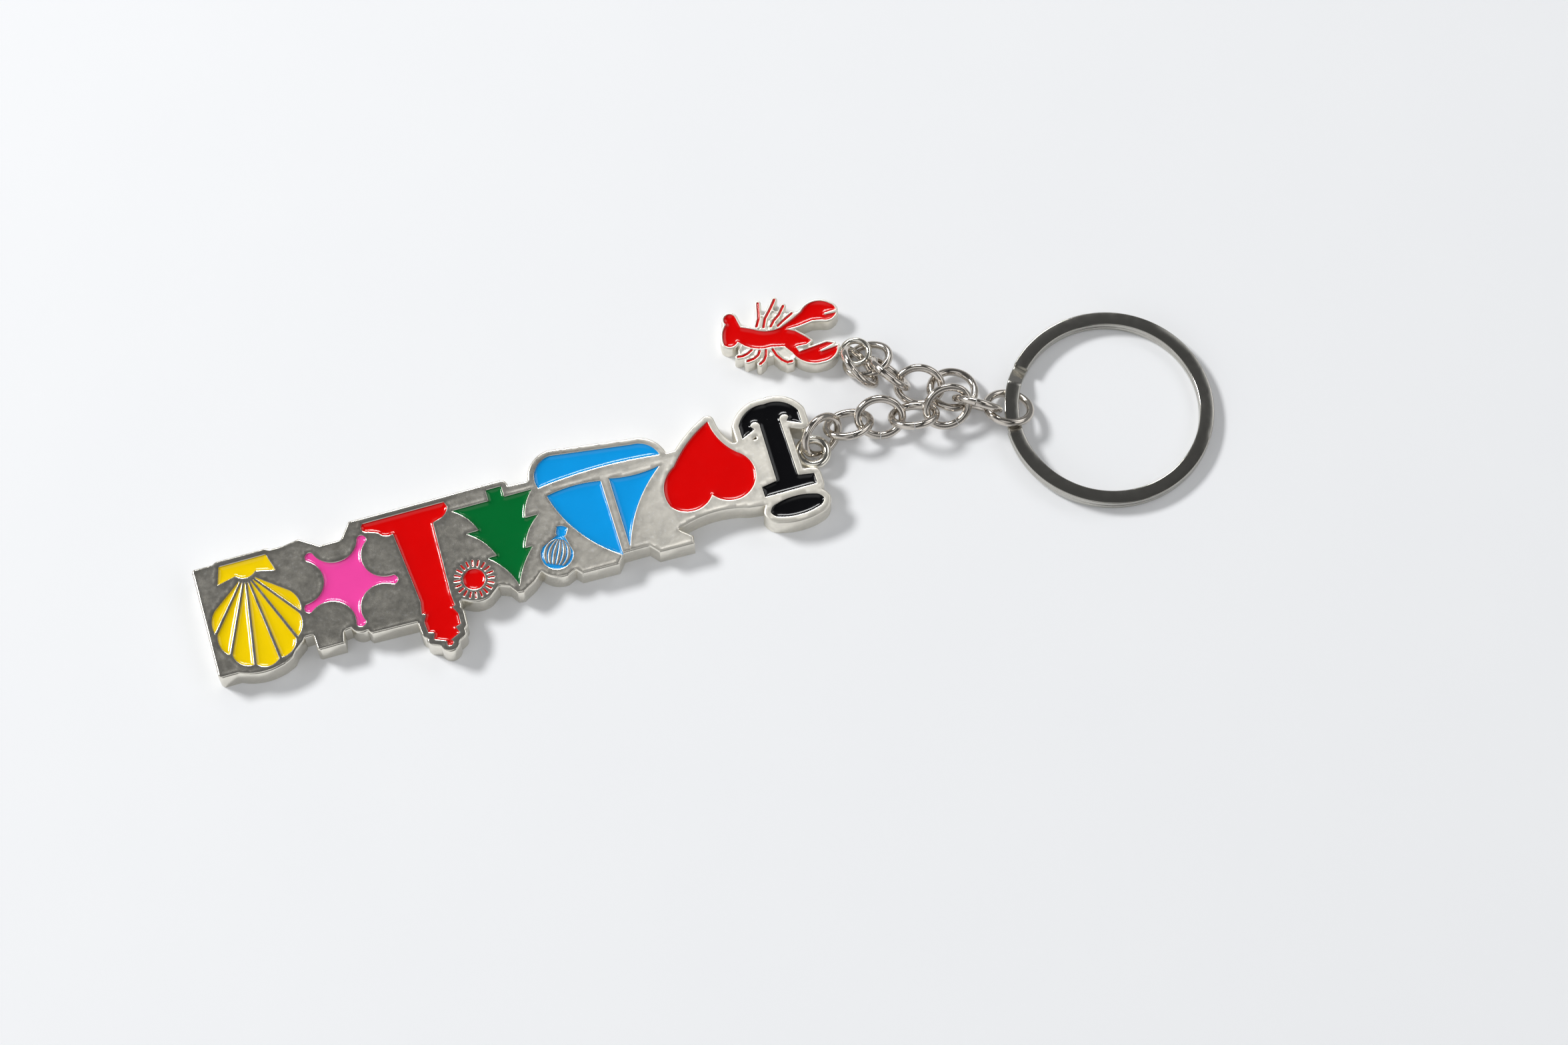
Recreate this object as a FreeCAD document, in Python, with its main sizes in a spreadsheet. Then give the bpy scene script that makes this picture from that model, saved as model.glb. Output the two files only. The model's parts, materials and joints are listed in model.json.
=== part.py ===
"""Souvenir keychain: split key ring, two short chains, an enamelled name-plate style
charm of seaside motifs and a small enamelled lobster charm.

Frame, in millimetres: the origin is the centre of the key ring on the resting plane,
+X runs from the key ring to the far end of the plate charm, +Y towards the tops of the
ornaments, +Z up out of the resting plane."""
import FreeCAD, Part
import math
import os
import Sketcher

Vector = FreeCAD.Vector
Rotation = FreeCAD.Rotation
Placement = FreeCAD.Placement
X_AXIS, Y_AXIS, Z_AXIS = Vector(1, 0, 0), Vector(0, 1, 0), Vector(0, 0, 1)
RESTING = "0 mm"                         # level of whatever lies on the resting plane

doc = FreeCAD.newDocument("keychain")

# ---------------------------------------------------------------- driving dimensions
SIZES = [
    ("ring_outer_radius", 16.0, "key ring, outer radius"),
    ("ring_band", 2.2, "key ring, radial width of the strip"),
    ("ring_strip", 0.9, "key ring, thickness of one coil"),
    ("ring_slit", 0.05, "key ring, free gap between the two coils"),
    ("ring_tilt", 1.25, "key ring, degrees it is propped up by the chain"),
    ("wire", 1.2, "links, wire diameter"),
    ("wire_gap", 0.12, "links, gap left at the butt joint"),
    ("link_end_radius", 2.3, "oval link, centreline radius of the ends"),
    ("link_side_radius", 3.76, "oval link, centreline radius of the sides"),
    ("link_end_spread", 1.1, "oval link, end arc centre from the link's middle"),
    ("round_link_radius", 3.4, "round link, centreline radius"),
    ("plate_thickness", 4.0, "plate charm, thickness"),
    ("plate_rim", 1.05, "plate charm, metal kept around each motif"),
    ("pocket_depth", 0.5, "enamel pockets, depth"),
    ("enamel_recess", 0.1, "enamel, how far its face lies below the metal"),
    ("plate_eye_radius", 2.1, "plate eye, centreline radius"),
    ("plate_eye_tube", 0.7, "plate eye, radius of the cast loop's section"),
    ("plate_eye_height", 2.2, "plate eye, height of its middle"),
    ("lobster_thickness", 3.0, "lobster charm, thickness"),
    ("lobster_rim", 0.35, "lobster charm, metal kept around the enamel"),
    ("leg_rim", 0.28, "lobster charm, metal kept around the legs' enamel"),
    ("lobster_eye_radius", 2.0, "lobster eye, centreline radius"),
    ("lobster_eye_tube", 0.5, "lobster eye, radius of the cast loop's section"),
    ("lobster_eye_height", 2.1, "lobster eye, height of its middle"),
    ("leg_half_width", 0.2, "lobster legs, half width of the enamel stroke"),
]
sheet = doc.addObject("Spreadsheet::Sheet", "sizes")
for row, (alias, value, note) in enumerate(SIZES, start=1):
    sheet.set(f"A{row}", note)
    sheet.set(f"B{row}", str(value))
    sheet.setAlias(f"B{row}", alias)
doc.recompute()


def size(alias):
    """Value of a driving dimension."""
    return float(sheet.get(alias))


# ------------------------------------------------------------------- shared helpers
def origin_plane(body, role):
    """One of a body's own origin planes, such as XY_Plane."""
    return next(feature for feature in body.Origin.OriginFeatures if feature.Role == role)


def attached_sketch(body, name, role, offset=None):
    """Sketch of a body on one of its own origin planes."""
    sketch = body.newObject("Sketcher::SketchObject", name)
    sketch.AttachmentSupport = [(origin_plane(body, role), "")]
    sketch.MapMode = "FlatFace"
    if offset is not None:
        sketch.AttachmentOffset = offset
    return sketch


def dimension(sketch, constraint, name, expression):
    """Add a named dimension to a sketch and bind it to the sheet."""
    index = sketch.addConstraint(constraint)
    sketch.renameConstraint(index, name)
    sketch.setExpression("Constraints." + name, expression)


def polar(centre, radius, degrees):
    """Point at a radius and an angle from a centre in the XY plane."""
    angle = math.radians(degrees)
    return (centre[0] + radius * math.cos(angle), centre[1] + radius * math.sin(angle))


def arc_from(centre, radius, start, end):
    """Arc of a circle in the sketch plane, angles in radians, counter-clockwise."""
    circle = Part.Circle(Vector(centre[0], centre[1], 0), Z_AXIS, radius)
    return Part.ArcOfCircle(circle, start, end)


# ------------------------------------------------------------------------- key ring
RAMP_START, RAMP_END = -41.0, -32.0      # where the strip climbs from coil to coil
LOWER_COIL_START = -2.0                  # cut end of the lower coil
UPPER_COIL_END = 360.0 - 43.0            # cut end of the upper coil


def strip_section(body, name, azimuth, level):
    """Section of the strip at an azimuth, its underside at a level expression."""
    turn = Placement(Vector(), Rotation(Y_AXIS, azimuth))
    sketch = attached_sketch(body, name, "XZ_Plane", turn)
    outer, band, strip = size("ring_outer_radius"), size("ring_band"), size("ring_strip")
    inner = outer - band
    corners = [(inner, 0), (outer, 0), (outer, strip), (inner, strip)]
    for index, corner in enumerate(corners):
        following = corners[(index + 1) % 4]
        sketch.addGeometry(Part.LineSegment(Vector(*corner, 0), Vector(*following, 0)))
    for index in range(4):
        sketch.addConstraint(Sketcher.Constraint("Coincident", index, 2, (index + 1) % 4, 1))
    for index, kind in enumerate(["Horizontal", "Vertical", "Horizontal", "Vertical"]):
        sketch.addConstraint(Sketcher.Constraint(kind, index))
    dimension(sketch, Sketcher.Constraint("DistanceX", -1, 1, 0, 2, outer),
              "outer", "sizes.ring_outer_radius")
    dimension(sketch, Sketcher.Constraint("DistanceX", 0, 1, 0, 2, band),
              "band", "sizes.ring_band")
    dimension(sketch, Sketcher.Constraint("DistanceY", 1, 1, 1, 2, strip),
              "strip", "sizes.ring_strip")
    sketch.addConstraint(Sketcher.Constraint("PointOnObject", 0, 1, -1))
    sketch.setExpression("AttachmentOffset.Base.y", level)
    return sketch


def coil(body, name, start, end, level):
    """Flat coil of the strip between two azimuths."""
    sketch = strip_section(body, name + "_section", start, level)
    feature = body.newObject("PartDesign::Revolution", name)
    feature.Profile = sketch
    feature.ReferenceAxis = (sketch, ["V_Axis"])
    feature.Angle = end - start
    return feature


def build_key_ring():
    body = doc.addObject("PartDesign::Body", "key_ring")
    body.Label = "key_ring"
    climb = "sizes.ring_strip + sizes.ring_slit"
    coil(body, "lower_coil", LOWER_COIL_START, 360 + RAMP_START, RESTING)
    ramp = body.newObject("PartDesign::AdditiveLoft", "ramp")
    ramp.Profile = strip_section(body, "ramp_foot", RAMP_START, RESTING)
    middle = strip_section(body, "ramp_middle", (RAMP_START + RAMP_END) / 2,
                           "(" + climb + ") / 2")
    top = strip_section(body, "ramp_top", RAMP_END, climb)
    ramp.Sections = [middle, top]
    coil(body, "upper_coil", RAMP_END, UPPER_COIL_END, climb)
    lean = math.radians(size("ring_tilt"))
    height = size("ring_outer_radius") * math.sin(lean)
    body.Placement = Placement(Vector(0, 0, height), Rotation(Y_AXIS, -size("ring_tilt")))
    return body


# ---------------------------------------------------------------------------- links
# Where each link lies: middle x, y, z, then heading about Z, rise of its long axis and
# roll about it, in degrees. The order is from the key ring outwards.
ROUND_LINKS = {
    "ring_link": (14.8, -4.15, 2.3, 3, 16, 21),
    "charm_link_1": (22.0, -9.55, 2.05, 2, 8, 10),
}
OVAL_LINKS = {
    "hub_link": (19.35, -5.7, 3.3, -33, -1, 72),
    "plate_link_1": (23.85, -6.4, 3.8, 13, -13, -26),
    "plate_link_2": (29.15, -6.55, 3.35, -12, -4, 34),
    "plate_link_3": (34.05, -8.0, 2.85, -15, -1, -31),
    "plate_link_4": (38.95, -8.4, 2.35, -2, -1, 28),
    "plate_link_5": (43.45, -7.55, 3.0, 29, 8, -56),
    "charm_link_2": (26.7, -11.55, 2.25, -21, 0, -34),
    "charm_link_3": (30.55, -14.45, 3.05, -62, -5, 60),
    "charm_link_4": (32.9, -18.15, 1.6, 2, -10, 16),
    "charm_link_5": (34.55, -16.8, 2.9, -68, 11, 52),
}


def link_placement(pose):
    x, y, z, heading, rise, roll = pose
    turn = Rotation(Z_AXIS, heading) * Rotation(Y_AXIS, -rise) * Rotation(X_AXIS, roll)
    return Placement(Vector(x, y, z), turn)


def oval_path(body):
    """Centreline of an oval link: two end arcs, two side arcs, open at the butt joint."""
    sketch = attached_sketch(body, "path", "XY_Plane")
    end_radius, side_radius = size("link_end_radius"), size("link_side_radius")
    spread = size("link_end_spread")
    side_drop = math.sqrt((side_radius - end_radius) ** 2 - spread ** 2)
    meet = math.atan2(side_drop, spread)
    half_gap = size("wire_gap") / 2 / side_radius
    quarter, half, full = math.pi / 2, math.pi, 2 * math.pi
    right_top = sketch.addGeometry(arc_from((0, -side_drop), side_radius, meet,
                                            quarter - half_gap))
    right_end = sketch.addGeometry(arc_from((spread, 0), end_radius, -meet, meet))
    bottom = sketch.addGeometry(arc_from((0, side_drop), side_radius, half + meet,
                                         full - meet))
    left_end = sketch.addGeometry(arc_from((-spread, 0), end_radius, half - meet,
                                           half + meet))
    left_top = sketch.addGeometry(arc_from((0, -side_drop), side_radius,
                                           quarter + half_gap, half - meet))
    for one, one_end, other, other_end in [(right_top, 1, right_end, 2),
                                           (right_end, 1, bottom, 2),
                                           (bottom, 1, left_end, 2),
                                           (left_end, 1, left_top, 2)]:
        sketch.addConstraint(Sketcher.Constraint("Tangent", one, one_end, other, other_end))
    sketch.addConstraint(Sketcher.Constraint("Coincident", right_top, 3, left_top, 3))
    sketch.addConstraint(Sketcher.Constraint("Equal", right_top, left_top))
    sketch.addConstraint(Sketcher.Constraint("Equal", right_top, bottom))
    sketch.addConstraint(Sketcher.Constraint("Equal", right_end, left_end))
    sketch.addConstraint(Sketcher.Constraint("PointOnObject", right_top, 3, -2))
    sketch.addConstraint(Sketcher.Constraint("PointOnObject", bottom, 3, -2))
    sketch.addConstraint(Sketcher.Constraint("PointOnObject", right_end, 3, -1))
    dimension(sketch, Sketcher.Constraint("Radius", right_top, side_radius),
              "side_radius", "sizes.link_side_radius")
    dimension(sketch, Sketcher.Constraint("Radius", right_end, end_radius),
              "end_radius", "sizes.link_end_radius")
    dimension(sketch, Sketcher.Constraint("DistanceX", -1, 1, right_end, 3, spread),
              "spread", "sizes.link_end_spread")
    dimension(sketch, Sketcher.Constraint("DistanceX", -1, 1, right_top, 2,
                                          size("wire_gap") / 2),
              "gap_right", "sizes.wire_gap / 2")
    dimension(sketch, Sketcher.Constraint("DistanceX", left_top, 1, -1, 1,
                                          size("wire_gap") / 2),
              "gap_left", "sizes.wire_gap / 2")
    return sketch


def wire_section(body, role, offset, reach, reach_expression):
    """Round section of the wire at a distance from the link's middle."""
    sketch = attached_sketch(body, "section", role, offset)
    circle = sketch.addGeometry(Part.Circle(Vector(reach, 0, 0), Z_AXIS, size("wire") / 2))
    sketch.addConstraint(Sketcher.Constraint("PointOnObject", circle, 3, -1))
    dimension(sketch, Sketcher.Constraint("DistanceX", -1, 1, circle, 3, reach),
              "reach", reach_expression)
    dimension(sketch, Sketcher.Constraint("Diameter", circle, size("wire")),
              "wire", "sizes.wire")
    return sketch


def build_oval_link(name, pose):
    body = doc.addObject("PartDesign::Body", name)
    body.Label = name
    path = oval_path(body)
    end_radius, side_radius = size("link_end_radius"), size("link_side_radius")
    drop = math.sqrt((side_radius - end_radius) ** 2 - size("link_end_spread") ** 2)
    drop_expression = ("sqrt((sizes.link_side_radius - sizes.link_end_radius)^2"
                       " - sizes.link_end_spread^2)")
    section = wire_section(body, "YZ_Plane", Placement(Vector(0, 0, size("wire_gap") / 2),
                                                       Rotation()),
                           side_radius - drop,
                           "sizes.link_side_radius - " + drop_expression)
    section.setExpression("AttachmentOffset.Base.z", "sizes.wire_gap / 2")
    pipe = body.newObject("PartDesign::AdditivePipe", "bent_wire")
    pipe.Profile = section
    pipe.Spine = path
    body.Placement = link_placement(pose)
    return body


def build_round_link(name, pose):
    """Round link: a turned wire that stops short of a full circle at its butt joint."""
    body = doc.addObject("PartDesign::Body", name)
    body.Label = name
    radius = size("round_link_radius")
    section = wire_section(body, "XZ_Plane", None, radius, "sizes.round_link_radius")
    turned = body.newObject("PartDesign::Revolution", "bent_wire")
    turned.Profile = section
    turned.ReferenceAxis = (section, ["V_Axis"])
    turned.setExpression("Angle", "360 - sizes.wire_gap / sizes.round_link_radius * 180 / pi")
    body.Placement = link_placement(pose)
    return body


# ------------------------------------------------------------------ motif outlines
# An outline is a list of steps in the XY plane. A point is reached by a straight line,
# a pair of points (through, to) by an arc; the last step joins back to the first point.
def line_edges(outline):
    """Geometry of a closed outline."""
    edges = []
    here = outline[0]
    for step in outline[1:] + [outline[0]]:
        if isinstance(step[0], tuple):
            through, there = step
            edges.append(Part.Arc(Vector(*here, 0), Vector(*through, 0), Vector(*there, 0)))
        else:
            there = step
            if math.dist(here, there) < 1e-6:
                continue
            edges.append(Part.LineSegment(Vector(*here, 0), Vector(*there, 0)))
        here = there
    return edges


def stroke(points, half_width):
    """Outline of a line drawn with a round pen."""
    count = len(points)
    left, right = [], []
    for index, (x, y) in enumerate(points):
        before, after = points[max(index - 1, 0)], points[min(index + 1, count - 1)]
        heading = math.atan2(after[1] - before[1], after[0] - before[0])
        side = (-math.sin(heading) * half_width, math.cos(heading) * half_width)
        left.append((x + side[0], y + side[1]))
        right.append((x - side[0], y - side[1]))
    first, second, third, last = points[0], points[1], points[-2], points[-1]
    start_heading = math.degrees(math.atan2(first[1] - second[1], first[0] - second[0]))
    end_heading = math.degrees(math.atan2(last[1] - third[1], last[0] - third[0]))
    round_start = (polar(first, half_width, start_heading), left[0])
    round_end = (polar(last, half_width, end_heading), right[-1])
    return left + [round_end] + right[-2::-1] + [round_start]


ANCHOR = [(46.4, 0.1), (54.6, 0.1), (54.6, -1.6), (52.2, -2.0), (52.1, -11.2),
          ((52.6, -12.1), (53.5, -11.6)), (53.0, -11.0), (55.2, -10.0), (55.2, -12.2),
          ((53.6, -14.0), (50.5, -14.6)), ((47.4, -14.0), (45.8, -12.2)), (45.8, -10.0),
          (48.0, -11.0), (47.5, -11.6), ((48.4, -12.1), (48.9, -11.2)), (48.8, -2.0),
          (46.4, -1.6)]
HEART = [(62.1, -2.6), ((59.0, -0.8), (55.6, -2.4)), ((54.8, -4.9), (56.6, -8.2)),
         ((58.6, -10.9), (59.5, -14.3)), ((63.0, -12.1), (66.4, -8.6)),
         ((68.9, -5.2), (68.6, -2.4)), ((65.7, -0.8), (62.1, -2.6))]
JIB = [(76.2, 2.2), ((73.6, -3.6), (68.4, -9.4)), ((72.4, -9.0), (76.3, -9.5))]
MAINSAIL = [(77.5, 3.0), ((82.9, -2.4), (86.0, -9.4)), ((81.7, -9.9), (77.6, -9.5))]
HULL = [(67.9, -11.1), ((77.5, -11.7), (86.9, -11.0)), ((86.6, -14.0), (83.9, -15.6)),
        (71.6, -13.9), ((69.2, -13.1), (67.9, -11.1))]
FIR_TREE = [(93.6, 3.3), ((94.8, 0.4), (97.1, -2.2)), (95.6, -2.2),
            ((96.8, -4.6), (99.2, -6.9)), (97.2, -6.9), ((98.5, -9.4), (100.4, -11.1)),
            (94.6, -11.1), (94.6, -12.9), (92.2, -12.9), (92.2, -11.1), (87.9, -11.1),
            ((89.3, -9.2), (90.1, -6.9)), (88.0, -6.9), ((90.2, -4.6), (91.3, -2.2)),
            (90.1, -2.2), ((92.2, 0.4), (93.6, 3.3))]
TOWER = [(101.1, -12.85), (113.7, -12.85), ((114.0, -12.0), (113.2, -11.4)),
         (111.7, -10.8), ((111.0, -10.1), (109.65, -10.1)), (108.4, 1.7), (108.7, 3.6),
         (108.1, 3.8), (108.65, 5.0), (108.5, 6.7), (107.6, 7.0), (107.95, 8.0),
         (106.1, 8.8), ((106.1, 9.5), (105.5, 9.5)), ((105.3, 9.1), (105.6, 8.8)),
         (104.0, 8.0), (104.4, 7.0), (103.55, 6.7), (103.5, 5.0), (104.1, 3.8),
         (103.65, 3.6), (103.8, 1.7), (103.5, -10.1), (102.1, -10.5),
         ((101.2, -11.2), (100.8, -12.0))]
OVAL_CENTRE, OVAL_HALF_LENGTH, OVAL_HALF_WIDTH = (50.3, 2.7), 4.2, 1.55
SUN_CENTRE, SUN_RADIUS, SUN_RAYS = (99.85, 0.45), 1.65, 20
RAY_INNER, RAY_OUTER, RAY_HALF_WIDTH = 2.15, 2.95, 0.14
STAR_CENTRE, STAR_TIP, STAR_WAIST, STAR_ARMS = (118.1, -4.6), 7.6, 3.4, 5
STAR_TIP_SPREAD, STAR_TIP_ROUNDING = 6.0, 0.6
SHELL_HINGE, SHELL_HALF_WIDTH, SHELL_HALF_HEIGHT = (132.3, -10.3), 6.4, 7.5
SHELL_RIBS, SHELL_SPREAD, RIB_HALF_WIDTH = 7, 52.0, 0.22
BALLOON_CENTRE, BALLOON_RADIUS, BALLOON_LEAN, BALLOON_GORES = (86.95, 0.05), 2.45, -25.0, 6


def oval(centre, half_length, half_width):
    """Oval made of arcs through points of an ellipse."""
    arcs = 8

    def point(turn):
        angle = 2 * math.pi * turn / arcs
        return (centre[0] + half_length * math.cos(angle), centre[1] + half_width * math.sin(angle))

    return [point(0)] + [(point(turn + 0.5), point(turn + 1)) for turn in range(arcs)]


def starfish():
    """Five round-tipped arms with hollow flanks."""
    outline = []
    shoulder = STAR_TIP - STAR_TIP_ROUNDING
    for arm in range(STAR_ARMS):
        heading = 90 + arm * 360 / STAR_ARMS + 4
        start = polar(STAR_CENTRE, shoulder, heading - STAR_TIP_SPREAD)
        finish = polar(STAR_CENTRE, shoulder, heading + STAR_TIP_SPREAD)
        waist = polar(STAR_CENTRE, STAR_WAIST, heading - 180 / STAR_ARMS)
        if arm == 0:
            outline.append(start)
        else:
            outline.append((waist, start))
        outline.append((polar(STAR_CENTRE, STAR_TIP, heading), finish))
        last_waist = polar(STAR_CENTRE, STAR_WAIST, heading + 180 / STAR_ARMS)
    outline.append((last_waist, outline[0]))
    return outline


def shell_radius(lean):
    """Distance from the hinge to the fan's elliptic edge, lean from upright in radians."""
    across = (math.sin(lean) / SHELL_HALF_WIDTH) ** 2 + (math.cos(lean) / SHELL_HALF_HEIGHT) ** 2
    return 2 * math.cos(lean) / (SHELL_HALF_HEIGHT * across)


def shell_segments():
    """Fan of enamel fields between the ribs of a scallop shell, and its hinge block."""
    root, bulge = 1.7, 0.45
    step = 2 * SHELL_SPREAD / SHELL_RIBS
    outlines = []
    for index in range(SHELL_RIBS):
        left = 90 + SHELL_SPREAD - index * step
        right = left - step
        rim_left = shell_radius(math.radians(left - 90))
        rim_right = shell_radius(math.radians(right - 90))
        rim_middle = shell_radius(math.radians((left + right) / 2 - 90)) + bulge
        at_root = math.degrees(RIB_HALF_WIDTH / root) * 0.8
        at_left = math.degrees(RIB_HALF_WIDTH / rim_left)
        at_right = math.degrees(RIB_HALF_WIDTH / rim_right)
        outlines.append([
            polar(SHELL_HINGE, root, left - at_root),
            polar(SHELL_HINGE, rim_left, left - at_left),
            (polar(SHELL_HINGE, rim_middle, (left + right) / 2),
             polar(SHELL_HINGE, rim_right, right + at_right)),
            polar(SHELL_HINGE, root, right + at_root)])
    x, y = SHELL_HINGE
    outlines.append([(x - 4.4, y + 0.9), (x - 1.5, y + 0.2), ((x, y + 0.9), (x + 1.5, y + 0.2)),
                     (x + 4.4, y + 0.9), (x + 3.6, y - 1.9), (x - 3.6, y - 1.9)])
    return outlines


def shell_outline():
    """Outer edge of the whole shell, for the metal around it."""
    edge = []
    for index in range(SHELL_RIBS + 1):
        lean = SHELL_SPREAD - index * 2 * SHELL_SPREAD / SHELL_RIBS
        edge.append(polar(SHELL_HINGE, shell_radius(math.radians(lean)) + 0.2, 90 + lean))
    x, y = SHELL_HINGE
    return edge + [(x + 4.4, y + 0.9), (x + 3.6, y - 1.9), (x - 3.6, y - 1.9), (x - 4.4, y + 0.9)]


def sun_rays():
    """Short strokes around the sun's disc."""
    rays = []
    for ray in range(SUN_RAYS):
        heading = (ray + 0.5) * 360 / SUN_RAYS
        rays.append(stroke([polar(SUN_CENTRE, RAY_INNER, heading),
                            polar(SUN_CENTRE, RAY_OUTER, heading)], RAY_HALF_WIDTH))
    return rays


def balloon_point(across, along):
    """Point of the leaning balloon from its own width and height in radii."""
    lean = math.radians(BALLOON_LEAN)
    x, y = across * BALLOON_RADIUS, along * BALLOON_RADIUS
    return (BALLOON_CENTRE[0] + x * math.cos(lean) - y * math.sin(lean),
            BALLOON_CENTRE[1] + x * math.sin(lean) + y * math.cos(lean))


def balloon_outlines():
    """Envelope and basket in one outline, with the open gores as islands of metal."""
    envelope = [balloon_point(-0.94, -0.3), (balloon_point(0, 1.0), balloon_point(0.94, -0.3)),
                balloon_point(0.22, -1.22), balloon_point(0.3, -1.3),
                balloon_point(0.34, -1.75), (balloon_point(0, -1.85), balloon_point(-0.34, -1.75)),
                balloon_point(-0.3, -1.3), balloon_point(-0.22, -1.22)]
    gores = []
    cord = 0.055
    for index in range(BALLOON_GORES):
        left = -0.9 + 1.8 * index / BALLOON_GORES + cord
        right = -0.9 + 1.8 * (index + 1) / BALLOON_GORES - cord
        gores.append([balloon_point(left * 0.32, -0.95),
                      (balloon_point(left * 0.97, -0.1), balloon_point(left * 0.62, 0.7)),
                      balloon_point(right * 0.62, 0.7),
                      (balloon_point(right * 0.97, -0.1), balloon_point(right * 0.32, -0.95))])
    return envelope, gores


# Background sheet that carries the motifs, counter-clockwise from the lower left.
SHEET = [(49.2, -9.0), (57.5, -10.0), (64.3, -11.2), (67.5, -11.2), (86.9, -12.6),
         (91.2, -12.8), (93.4, -13.9), (113.9, -13.9), (115.6, -13.9), (117.4, -11.4), (120.6, -11.4),
         (123.4, -13.3), (126.0, -12.9), (139.2, -12.9), ((139.8, -12.7), (139.9, -12.1)),
         (139.9, 4.2), ((139.7, 4.9), (139.0, 5.1)), (136.9, 5.1), ((132.6, 6.0), (128.5, 4.8)),
         (126.8, 2.4), (125.0, 2.3), (124.9, 4.3), ((124.7, 4.8), (124.2, 4.9)), (120.7, 4.9),
         (120.3, 3.0), (117.9, 2.7), (116.6, 4.6), (109.6, 4.8), (102.5, 3.2), (101.4, 3.8),
         ((99.8, 4.2), (98.0, 3.8)), (96.5, 2.6), (95.1, 3.2), (94.2, 4.5), (93.3, 4.6),
         (91.2, 3.4), (89.9, 2.2), ((88.0, 3.7), (86.3, 3.9)), (85.0, 3.3), (84.2, 4.2),
         (78.5, 4.3), (77.3, 2.8), (73.4, 2.8), (72.2, 4.2), (66.8, 4.3), (66.6, 3.0),
         (68.4, 1.4), (66.4, 0.8), ((61.8, 0.3), (57.4, 1.1)), (53.5, 1.6), (50.0, 1.0)]

# ------------------------------------------------------------------ lobster outlines
LOBSTER = [(36.75, -21.25), ((37.6, -19.9), (39.6, -19.3)), ((42.3, -20.1), (43.7, -22.0)),
           (44.6, -23.4), (46.6, -23.9), ((48.7, -24.2), (50.6, -25.4)), (51.3, -26.2),
           ((52.5, -25.6), (53.4, -26.2)), ((53.2, -27.9), (52.2, -29.5)),
           ((51.4, -31.0), (50.5, -30.2)), (50.2, -28.4), (48.4, -27.5),
           ((46.4, -26.6), (44.4, -26.6)), (42.2, -27.5), (40.6, -28.3),
           ((38.2, -29.4), (35.9, -28.4)), ((35.4, -27.8), (35.3, -27.2)), (37.2, -27.1),
           (37.2, -26.8), (35.4, -26.7), ((36.2, -26.0), (37.8, -26.1)), (39.3, -26.4),
           (41.6, -26.1), (43.5, -26.1), (42.3, -25.4), (41.0, -24.0), (40.4, -23.2),
           (41.3, -22.8), (43.0, -22.9), (42.7, -21.9), ((40.5, -22.1), (38.2, -22.3)),
           (37.2, -21.8), (39.6, -21.25), (39.5, -21.0)]
LEGS = [
    [(46.5, -23.4), (46.2, -22.3), (45.6, -21.3), (44.9, -20.7), (44.2, -20.7)],
    [(47.5, -23.6), (47.8, -22.7), (48.3, -22.0), (49.0, -21.6)],
    [(48.5, -23.7), (48.9, -23.1), (49.7, -22.7), (50.7, -22.6)],
    [(49.6, -24.2), (50.4, -23.8), (51.2, -23.6), (51.9, -23.7)],
    [(44.6, -27.0), (43.6, -27.6), (42.6, -28.1), (42.0, -28.4)],
    [(45.7, -27.2), (45.0, -28.0), (43.9, -28.8), (42.9, -30.0)],
    [(46.8, -27.4), (46.2, -28.7), (45.1, -29.9), (43.9, -31.4)],
    [(47.8, -27.8), (47.1, -29.0), (46.8, -30.3), (46.5, -31.5)],
]
WEBS = [
    [(44.2, -23.0), (43.4, -21.2), (44.4, -20.5), (45.6, -21.0), (46.4, -22.2), (47.3, -22.2),
     (48.4, -22.0), (49.8, -22.5), (51.0, -22.9), (51.8, -23.9), (51.6, -24.8), (50.6, -25.8),
     (46.0, -24.4)],
    [(40.6, -22.0), (43.4, -21.6), (43.6, -23.4), (40.8, -23.4)],
    [(41.2, -27.6), (46.0, -26.2), (48.2, -27.0), (47.2, -28.6), (46.8, -29.6), (45.7, -29.3),
     (44.8, -30.2), (43.8, -29.2), (43.1, -29.7), (42.5, -28.4), (41.0, -28.6)],
]
PLATE_EYE_CENTRE = (45.4, -5.6)
LOBSTER_EYE_CENTRE = (34.35, -19.7)
LOBSTER_NECK_END = (37.6, -20.9)


# ----------------------------------------------------------------- cast charm pieces
def outline_sketch(name, outlines):
    """Free sketch in the XY plane holding closed outlines."""
    sketch = doc.addObject("Sketcher::SketchObject", name)
    for outline in outlines:
        sketch.addGeometry(line_edges(outline))
    return sketch


def extrusion(name, base, length, level):
    """Straight block over a sketch, its length and height bound to the sheet."""
    block = doc.addObject("Part::Extrusion", name)
    block.Base = base
    block.DirMode = "Custom"
    block.Dir = Z_AXIS
    block.Solid = True
    block.FaceMakerClass = "Part::FaceMakerBullseye"
    block.setExpression("LengthFwd", length)
    block.setExpression("Placement.Base.z", level)
    return block


def widened(name, sketch, rim):
    """The sketch's outline moved outwards by a rim, with round corners."""
    offset = doc.addObject("Part::Offset2D", name)
    offset.Source = sketch
    offset.Join = "Arc"
    offset.setExpression("Value", rim)
    return offset


def eye(name, centre, prefix):
    """Cast loop at the edge of a charm."""
    loop = doc.addObject("Part::Torus", name)
    loop.setExpression("Radius1", f"sizes.{prefix}_eye_radius")
    loop.setExpression("Radius2", f"sizes.{prefix}_eye_tube")
    loop.Placement = Placement(Vector(*centre, 0), Rotation())
    loop.setExpression("Placement.Base.z", f"sizes.{prefix}_eye_height")
    return loop


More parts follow.
